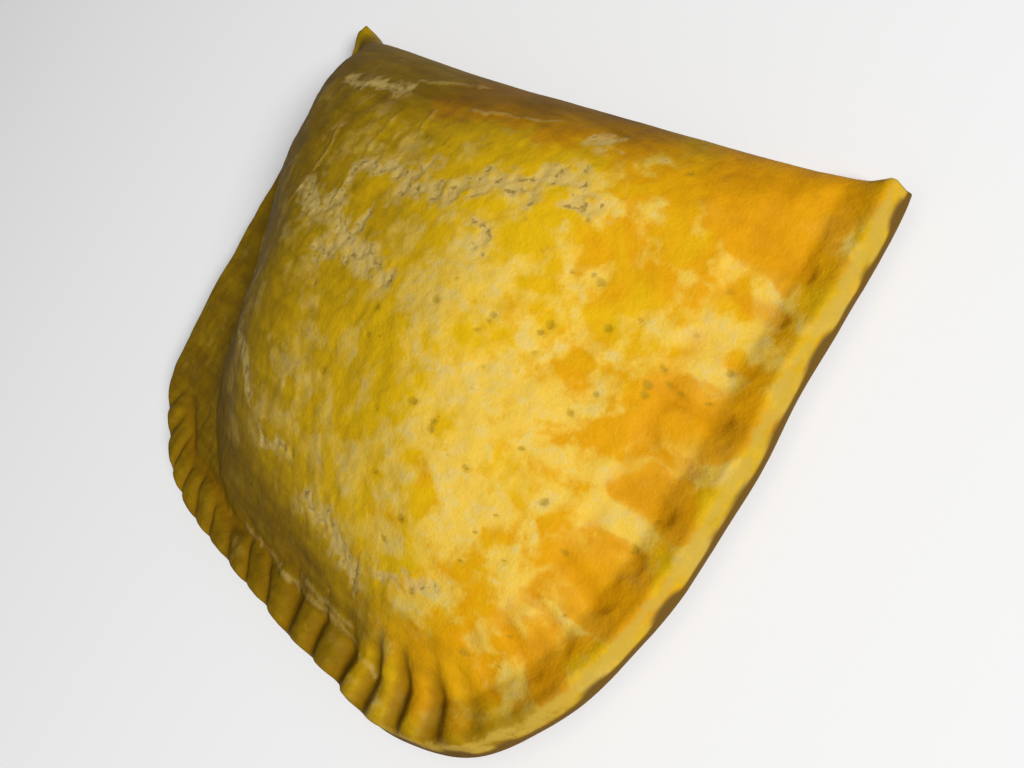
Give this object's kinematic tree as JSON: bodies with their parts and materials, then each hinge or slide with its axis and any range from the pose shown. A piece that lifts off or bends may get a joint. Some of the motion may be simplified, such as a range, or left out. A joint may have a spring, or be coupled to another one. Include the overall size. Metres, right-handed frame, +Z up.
{
  "type": "jamaican patty",
  "caption": "Baked savoury pastry turnover with a golden flaky crust, one smooth folded edge and a crimped, sealed edge round the other three sides.",
  "frame": {"origin": "middle of the bounding box, at the flat underside", "axes": "+X along the fold towards the right tip, +Y from the crimped front edge to the fold, +Z up out of the dome"},
  "size_m": [0.1488, 0.1118, 0.0281],
  "materials": {
    "crust": "matt baked pastry, mustard gold with pale flaky patches and browner edges"
  },
  "bodies": {
    "root": {"patty": "crust"}
  },
  "joints": []
}
